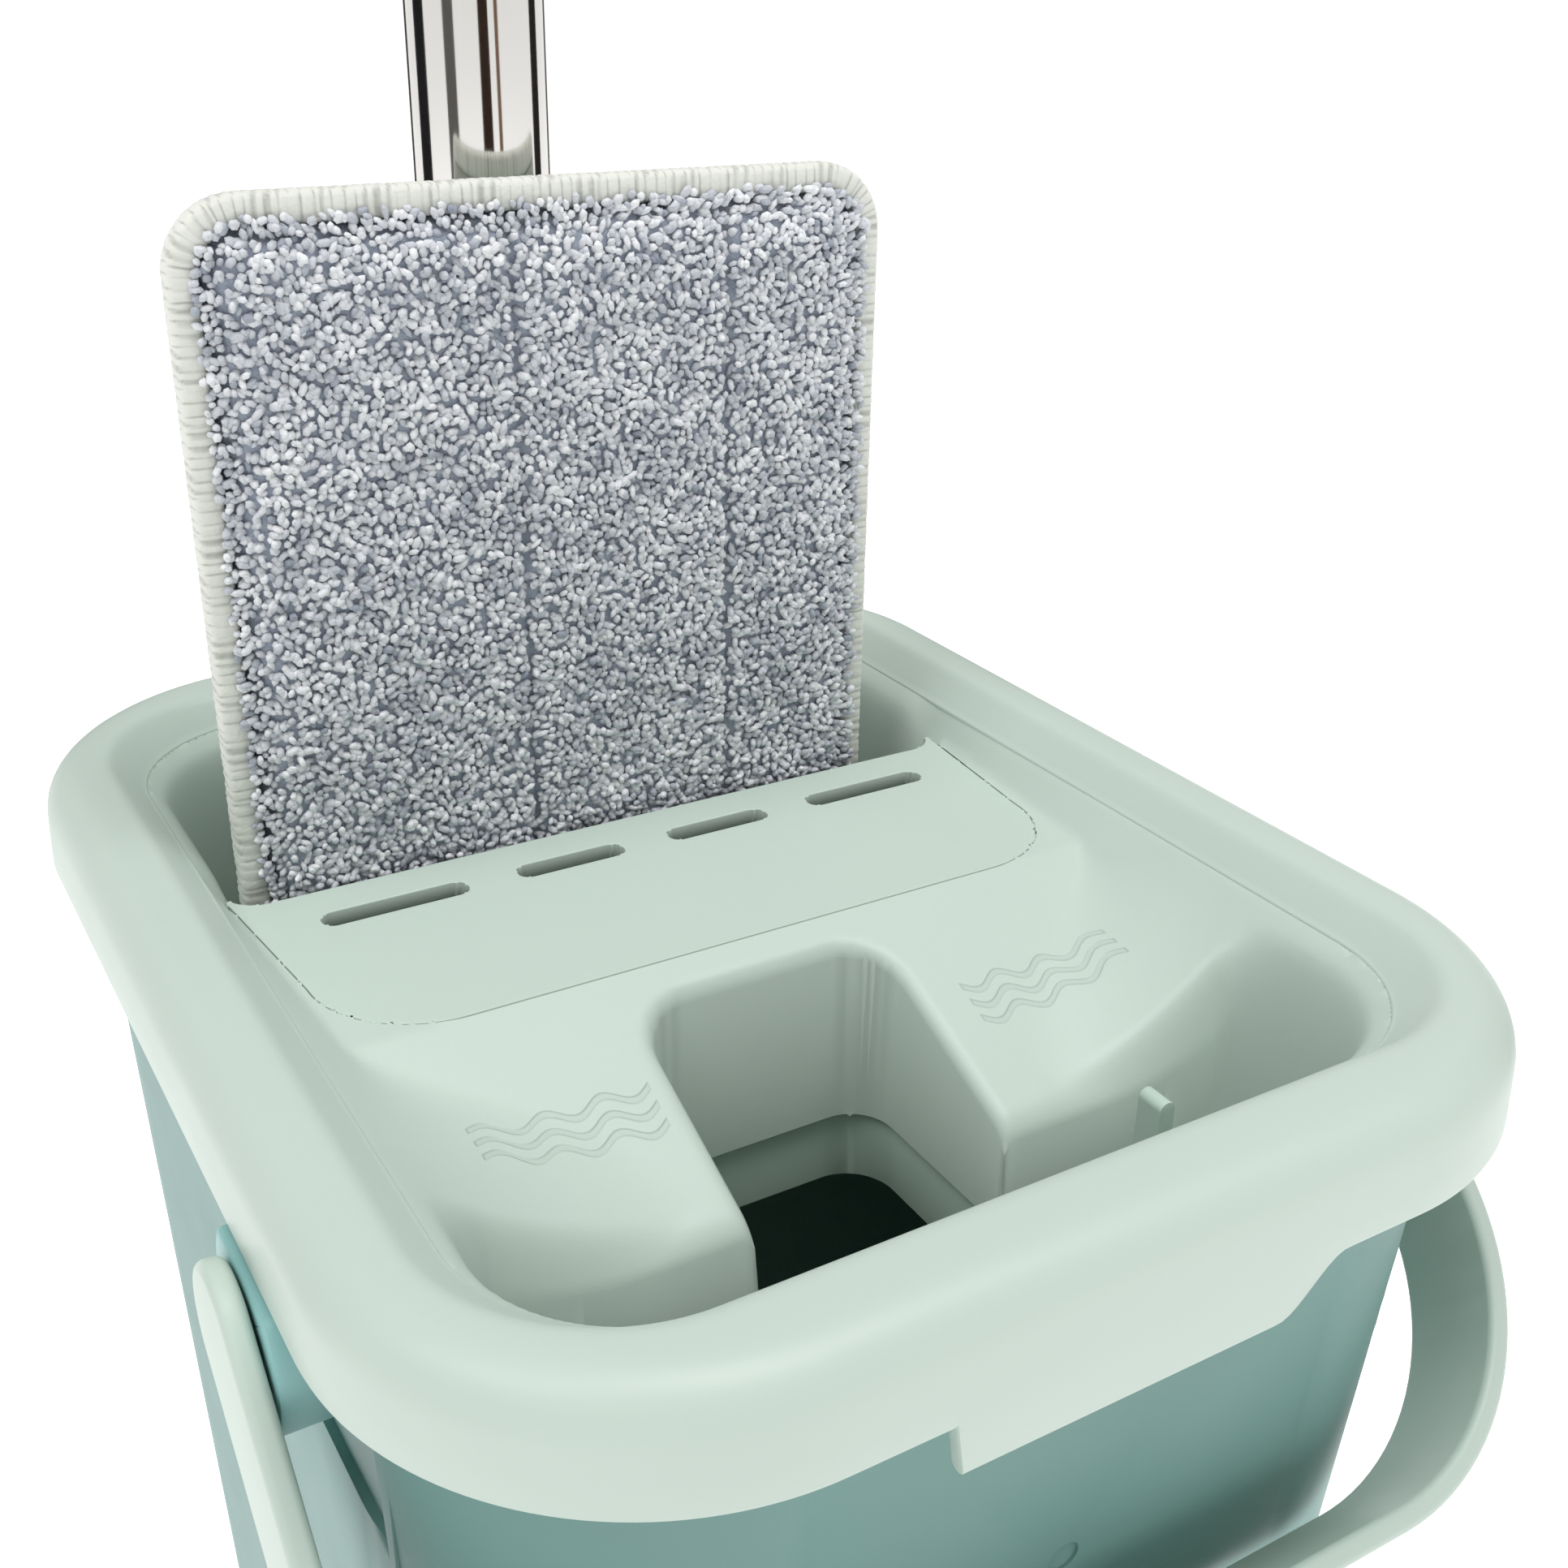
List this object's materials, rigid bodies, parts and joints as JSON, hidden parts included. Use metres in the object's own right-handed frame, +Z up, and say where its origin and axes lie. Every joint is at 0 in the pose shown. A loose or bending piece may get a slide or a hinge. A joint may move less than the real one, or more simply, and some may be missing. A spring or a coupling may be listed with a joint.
{
  "type": "flat squeeze mop and bucket",
  "caption": "Flat microfibre mop standing in the wringing slot of a tall rectangular bucket with a wash-and-squeeze cover and a swinging bail.",
  "frame": {"origin": "on the floor, under the centre of the bucket", "axes": "+Z up along the pole, +X to the right along the bucket's front, +Y towards the back, where the mop stands"},
  "size_m": [0.2106, 0.252, 1.532],
  "materials": {
    "bucket_teal": "satin moulded polypropylene",
    "boss_turquoise": "satin moulded plastic",
    "sage_plastic": "satin moulded polypropylene",
    "guide_plastic": "satin moulded polypropylene",
    "soft_lip": "matte soft rubber",
    "microfibre_pile": "looped heathered microfibre",
    "pad_cloth": "woven backing cloth",
    "binding_thread": "overlocked thread",
    "hook_tape": "hook tape",
    "plate_plastic": "satin moulded polypropylene",
    "polished_steel": "polished stainless steel",
    "screw_steel": "zinc plated steel",
    "dark_plastic": "matte moulded plastic"
  },
  "bodies": {
    "bucket": {"bucket_shell": "bucket_teal", "pivot_bush_left": "boss_turquoise", "pivot_bush_right": "boss_turquoise"},
    "bail": {"bail_handle": "sage_plastic", "bail_pin_left": "sage_plastic", "bail_pin_right": "sage_plastic"},
    "cover": {"top_cover": "sage_plastic", "squeeze_panel": "sage_plastic", "scraper_bar": "guide_plastic", "squeeze_lip": "soft_lip", "wash_guide": "guide_plastic", "dry_guide": "guide_plastic", "cover_screws": "screw_steel"},
    "mop_head": {"head_plate": "plate_plastic", "hook_strips": "hook_tape", "pad_backing": "pad_cloth", "pad_pile": "microfibre_pile", "pad_binding": "binding_thread", "pitch_pin": "screw_steel"},
    "knuckle": {"knuckle": "dark_plastic"},
    "pole": {"pole_socket": "plate_plastic", "sway_pin": "screw_steel", "pole_tube_1": "polished_steel", "pole_tube_2": "polished_steel", "pole_tube_3": "polished_steel", "pole_tube_4": "polished_steel", "pole_coupling_1": "dark_plastic", "pole_coupling_2": "dark_plastic", "pole_coupling_3": "dark_plastic", "hand_grip": "plate_plastic", "end_cap": "plate_plastic"}
  },
  "joints": [
    {"name": "bail_swing", "type": "hinge", "parent": "bucket", "child": "bail", "pos_m": [0, -0.053, 0.342], "axis": [1, 0, 0], "range_deg": [-180, 0]},
    {"name": "cover_lift", "type": "slide", "parent": "bucket", "child": "cover", "axis": [0, 0, 1], "range_m": [0, 0.1]},
    {"name": "mop_lift", "type": "slide", "parent": "cover", "child": "mop_head", "axis": [0, 0, 1], "range_m": [-0.12, 0.26]},
    {"name": "pole_pitch", "type": "hinge", "parent": "mop_head", "child": "knuckle", "pos_m": [-0.006, 0.075, 0.314], "axis": [-1, 0, 0], "range_deg": [0, 10]},
    {"name": "pole_sway", "type": "hinge", "parent": "knuckle", "child": "pole", "pos_m": [-0.006, 0.075, 0.342], "axis": [0, 1, 0], "range_deg": [-15, 15]}
  ]
}
